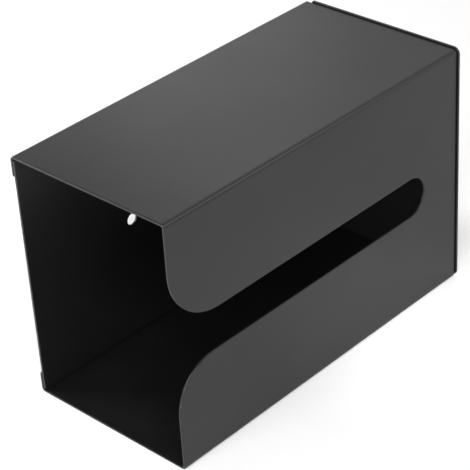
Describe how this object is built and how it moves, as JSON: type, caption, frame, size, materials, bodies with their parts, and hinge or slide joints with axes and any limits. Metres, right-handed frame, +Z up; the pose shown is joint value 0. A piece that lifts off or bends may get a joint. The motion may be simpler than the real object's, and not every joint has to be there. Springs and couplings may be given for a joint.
{
  "type": "napkin dispenser",
  "caption": "Wall-mounted napkin dispenser in folded sheet steel: a box open at one end for loading, with a long slot along its front, on an L-shaped wall plate.",
  "frame": {"origin": "bottom centre of the whole dispenser, on the surface that its floor stands on", "axes": "+X along the length towards the closed end, +Y towards the wall, +Z up; the slotted front faces -Y"},
  "size_m": [0.25, 0.12, 0.162],
  "materials": {
    "black_powder_coat": "satin, very fine texture"
  },
  "bodies": {
    "wall_plate": {"wall_plate": "black_powder_coat"},
    "cover": {"slotted_cover": "black_powder_coat"}
  },
  "joints": [
    {"name": "cover_slide", "type": "slide", "parent": "wall_plate", "child": "cover", "axis": [-1, 0, 0], "range_m": [0, 0.255]}
  ]
}
